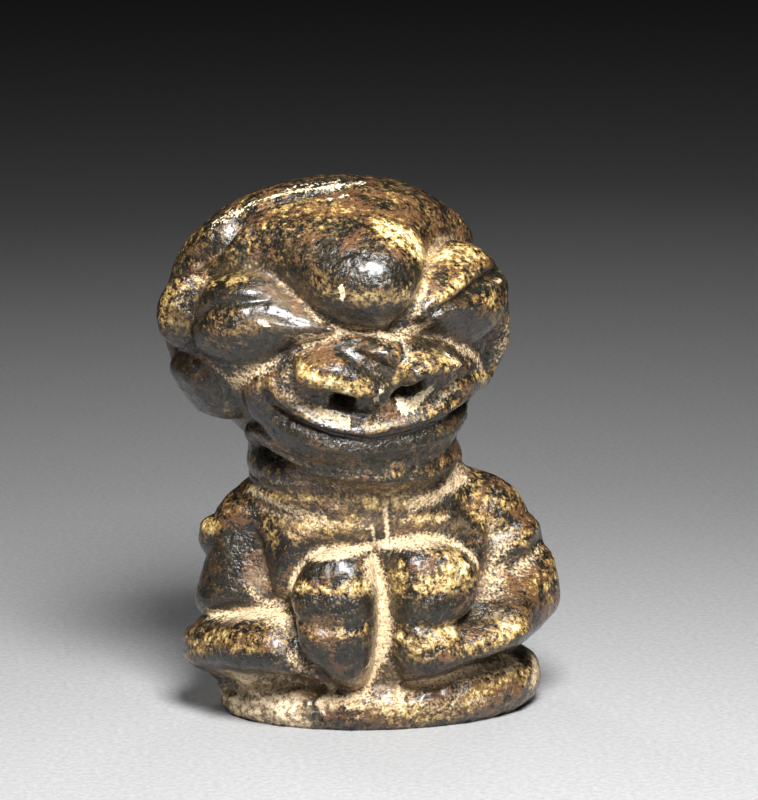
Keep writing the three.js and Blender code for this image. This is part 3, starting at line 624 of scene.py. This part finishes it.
class Tint:
    def __init__(self, socket):
        self.socket = socket

    @staticmethod
    def node(kind, settings, values, output=0):
        made = nodes.new(kind)
        for name, value in settings.items():
            setattr(made, name, value)
        for name, value in values.items():
            if isinstance(value, Tint):
                links.new(value.socket, made.inputs[name])
            else:
                made.inputs[name].default_value = value
        return Tint(made.outputs[output])

    def maths(self, operation, first, second):
        return Tint.node("ShaderNodeMath", {"operation": operation}, {0: first, 1: second})

    def __add__(self, other):
        return self.maths("ADD", self, other)

    __radd__ = __add__

    def __sub__(self, other):
        return self.maths("SUBTRACT", self, other)

    def __rsub__(self, other):
        return self.maths("SUBTRACT", other, self)

    def __mul__(self, other):
        return self.maths("MULTIPLY", self, other)

    __rmul__ = __mul__

    def step(self, low, high):
        limits = {"Value": self, "From Min": low, "From Max": high}
        return Tint.node("ShaderNodeMapRange", {"interpolation_type": "SMOOTHSTEP"}, limits)

    def over(self, beneath, colour):
        return Tint.node("ShaderNodeMix", {"data_type": "RGBA"}, {0: self, 6: beneath, 7: colour}, 2)


def mark(name):
    return Tint.node("ShaderNodeAttribute", {"attribute_name": name}, {}, 2)


whereabouts = Tint.node("ShaderNodeTexCoord", {}, {}, 3)


def cloud(grain, detail=4, roughness=0.6, stretch=(1, 1, 1)):
    place = Tint.node("ShaderNodeVectorMath", {"operation": "MULTIPLY"}, {0: whereabouts, 1: stretch})
    size = {"Vector": place, "Scale": 1 / grain, "Detail": detail, "Roughness": roughness}
    return Tint.node("ShaderNodeTexNoise", {}, size)


blotches = cloud(0.0042, 5, 0.62)
mottle = cloud(0.0024, 4, 0.5)
dents = cloud(0.0012, 2, 0.5)
flecks = cloud(0.00075, 5, 0.66)
grains = cloud(0.0003, 2, 0.6)
streaks = cloud(0.001, 5, 0.65, (0.4, 1, 1.3))
pits = 1 - cloud(0.0005, 2, 0.6).step(0.36, 0.42)
soil, film, crust, gold = mark("soil"), mark("film"), mark("crust"), mark("gold")
slip_and_shade, rust, grit = mark("slip_and_shade"), mark("rust"), mark("grit")

tone = 0.5 * flecks + 0.3 * blotches + 0.2 * grains
colour = tone.step(0.44, 0.62).over((0.008, 0.0068, 0.0045, 1), (0.06, 0.047, 0.024, 1))
brown = (0.5 * mottle + 0.3 * streaks + 0.2 * grains + 0.1 * rust).step(0.52, 0.6)
colour = (0.7 * brown).over(colour, (0.16, 0.075, 0.032, 1))
worn = 0.75 * flecks + 0.25 * grains + 0.2 * gold + 0.3 * (blotches - 0.5) - 0.01
colour = worn.step(0.55, 0.61).over(colour, (0.185, 0.105, 0.035, 1))
colour = worn.step(0.62, 0.67).over(colour, (0.44, 0.305, 0.105, 1))
colour = worn.step(0.7, 0.75).over(colour, (0.84, 0.71, 0.42, 1))
# Painted shade mixed with unworn slip: the marked places, broken up by flecks, are laid over with near-black colour.
shaded = (slip_and_shade + 2 * (flecks - 0.5)).step(0.2, 0.9)
colour = (0.7 * shaded).over(colour, (0.012, 0.0095, 0.006, 1))
colour = (0.8 * pits).over(colour, (0.016, 0.012, 0.007, 1))
crumbs = (0.3 * grains + 0.7 * flecks).step(0.45, 0.51)
colour = (grit * 0.8).over(colour, (0.42, 0.27, 0.13, 1))
colour = (grit * crumbs * 0.9).over(colour, (0.95, 0.77, 0.52, 1))
dusty = (film + 1.5 * (streaks - 0.5) + 0.8 * (grains - 0.5)).step(0.2, 1)
colour = (0.32 * dusty).over(colour, (0.24, 0.155, 0.08, 1))
packed = (soil + 0.9 * (grains + streaks - 1)).step(0.25, 0.8)
earth = (0.7 * grains + 0.3 * streaks + 0.12 * soil).step(0.45, 0.66)
colour = (0.92 * packed).over(colour, earth.over((0.2, 0.125, 0.065, 1), (0.7, 0.53, 0.32, 1)))
clinging = (crust + 1.2 * (streaks + grains - 1)).step(0.45, 0.65)
colour = (0.9 * clinging).over(colour, grains.step(0.4, 0.6).over((0.5, 0.36, 0.19, 1), (0.85, 0.73, 0.5, 1)))
links.new(colour.socket, surface.inputs["Base Color"])

rough = worn.step(0.6, 0.7)
dull = 0.22 + 0.12 * flecks + 0.1 * rough + 0.35 * dusty + 0.45 * packed + 0.3 * grit
links.new(dull.socket, surface.inputs["Roughness"])
surface.inputs["Specular IOR Level"].default_value = 0.5
surface.inputs["Coat Roughness"].default_value = 0.22
shine = (1 - 0.3 * rough) * (1 - 0.85 * dusty) * (1 - packed) * (1 - clinging) * (1 - 0.8 * grit) * (1 - pits)
links.new((0.5 * shine).socket, surface.inputs["Coat Weight"])
height = 0.75 * dents + 0.35 * flecks + 0.1 * grains + 0.06 * packed + 0.1 * clinging - 0.08 * pits
bump = Tint.node("ShaderNodeBump", {}, {"Strength": 0.9, "Distance": 0.0005, "Height": height})
links.new(bump.socket, surface.inputs["Normal"])
mesh.materials.append(clay)


# The studio. A pale paper table that runs far back, one soft lamp above and in front that falls off
# towards the back, and a weak fill from the left. The paper's colour is also darkened towards the
# back as painted shade of that fall-off.
def shown(name, data):
    piece = bpy.data.objects.new(name, data)
    bpy.context.scene.collection.objects.link(piece)
    return piece


table = bpy.data.meshes.new("paper_table")
reach = 3
table.from_pydata([(-reach, -reach, 0), (reach, -reach, 0), (reach, reach, 0), (-reach, reach, 0)], [], [(0, 1, 2, 3)])
paper = bpy.data.materials.new("paper_painted_darker_behind")
paper.use_nodes = True
nodes, links = paper.node_tree.nodes, paper.node_tree.links
whereabouts = Tint.node("ShaderNodeTexCoord", {}, {}, 3)
fibres = cloud(0.0007, 4, 0.8)
matt = nodes["Principled BSDF"]
matt.inputs["Roughness"].default_value = 0.9
matt.inputs["Specular IOR Level"].default_value = 0.2
tone = fibres.step(0.3, 0.7).over((0.285, 0.285, 0.287, 1), (0.365, 0.365, 0.367, 1))
# Painted shade: the paper colour turns near-black from just behind the figure to the far end, standing in for the
# lamp's fall-off.
away = Tint.node("ShaderNodeSeparateXYZ", {}, {"Vector": whereabouts}, 1)
tone = (0.3 * away.step(-0.02, 0.12)).over(tone, (0.02, 0.02, 0.02, 1))
tone = (0.5 * away.step(0.15, 1.1)).over(tone, (0.02, 0.02, 0.019, 1))
links.new(tone.socket, matt.inputs["Base Color"])
roughened = Tint.node("ShaderNodeBump", {}, {"Strength": 0.5, "Distance": 0.0002, "Height": fibres})
links.new(roughened.socket, matt.inputs["Normal"])
table.materials.append(paper)
shown("paper_table", table)


def lamp(name, place, size, power, spread=180):
    light = bpy.data.lights.new(name, "AREA")
    light.size, light.energy, light.spread = size, power, math.radians(spread)
    holder = shown(name, light)
    holder.location = place
    holder.visible_camera, holder.visible_glossy = False, spread == 180
    holder.rotation_mode = "QUATERNION"
    holder.rotation_quaternion = (Vector(place) - Vector((0, 0, 0.03))).to_track_quat("Z", "Y")


lamp("key", (0.01, -0.165, 0.21), 0.09, 1.85)
lamp("fill_left", (-0.25, -0.2, 0.1), 0.12, 0.02)
lamp("back_left", (-0.26, 0.5, 0.2), 0.2, 0.1, 40)
lamp("back_right", (0.22, 0.5, 0.2), 0.2, 0.08, 40)
room = bpy.data.worlds.new("room")
room.use_nodes = True
room.node_tree.nodes["Background"].inputs["Color"].default_value = (1, 1, 1, 1)
room.node_tree.nodes["Background"].inputs["Strength"].default_value = 0.012
bpy.context.scene.world = room
bpy.context.scene.view_settings.view_transform = "Standard"

camera = shown("camera", bpy.data.cameras.new("camera"))
aim, azimuth, elevation, distance = Vector((0.0021, 0.0001, 0.0349)), math.radians(-8), math.radians(11), 0.45
back = (math.sin(azimuth) * math.cos(elevation), -math.cos(azimuth) * math.cos(elevation), math.sin(elevation))
camera.location = aim + distance * Vector(back)
camera.rotation_mode = "QUATERNION"
camera.rotation_quaternion = Vector(back).to_track_quat("Z", "Y")
camera.data.lens = 182.25
camera.data.clip_start = 0.01
bpy.context.scene.camera = camera
